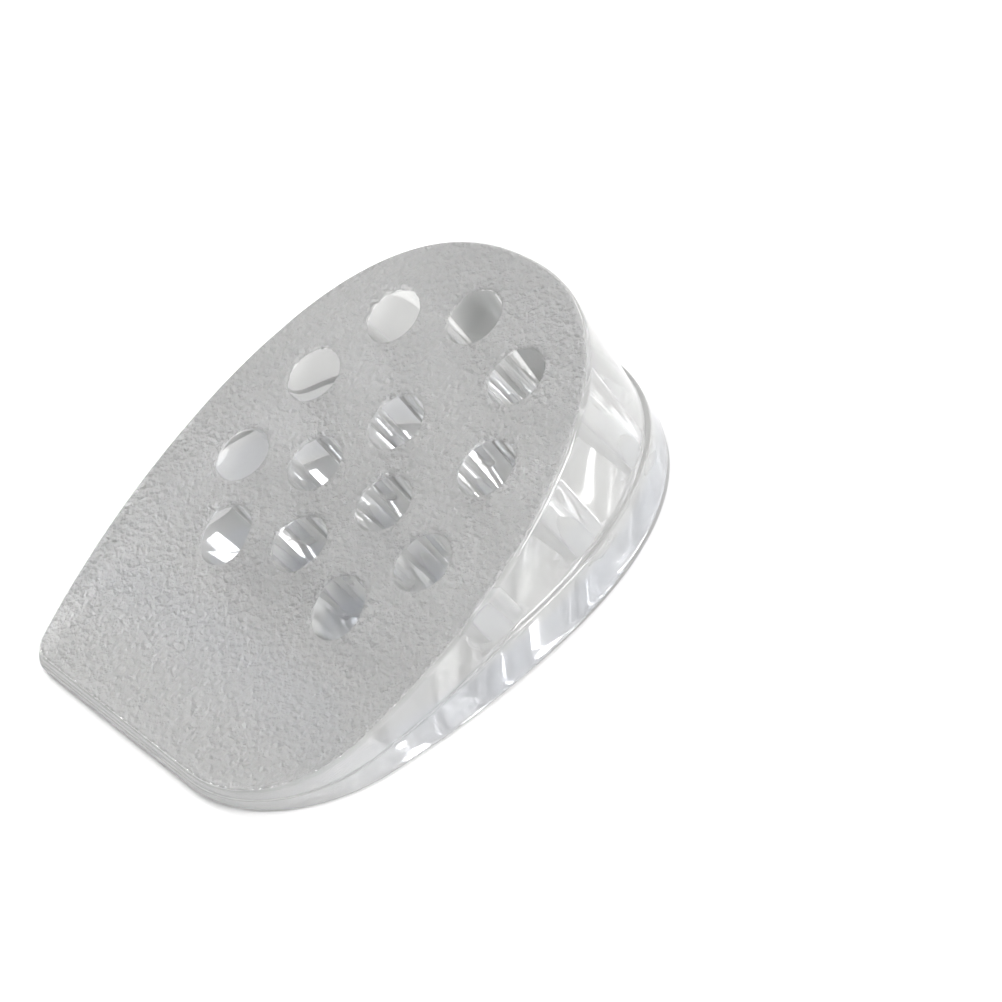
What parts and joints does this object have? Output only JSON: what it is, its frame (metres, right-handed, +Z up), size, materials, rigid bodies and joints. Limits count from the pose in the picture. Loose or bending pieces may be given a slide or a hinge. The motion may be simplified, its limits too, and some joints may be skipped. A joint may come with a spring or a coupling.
{
  "type": "height-increasing insole",
  "caption": "Clear gel heel wedge: thin straight front edge, ramp, shallow dished heel and leaning through holes; lies in a shoe to raise the heel.",
  "frame": {"origin": "middle of the flat base's box, on the surface that the insole lies on", "axes": "+X across the foot, +Y from the thin front edge to the heel, +Z up"},
  "size_m": [0.072, 0.086, 0.027],
  "materials": {
    "clear_gel": "soft clear gel, fine leather-like grain on the foot side, smooth and glossy on the wall, base and holes"
  },
  "bodies": {
    "root": {"gel_wedge": "clear_gel"}
  },
  "joints": []
}
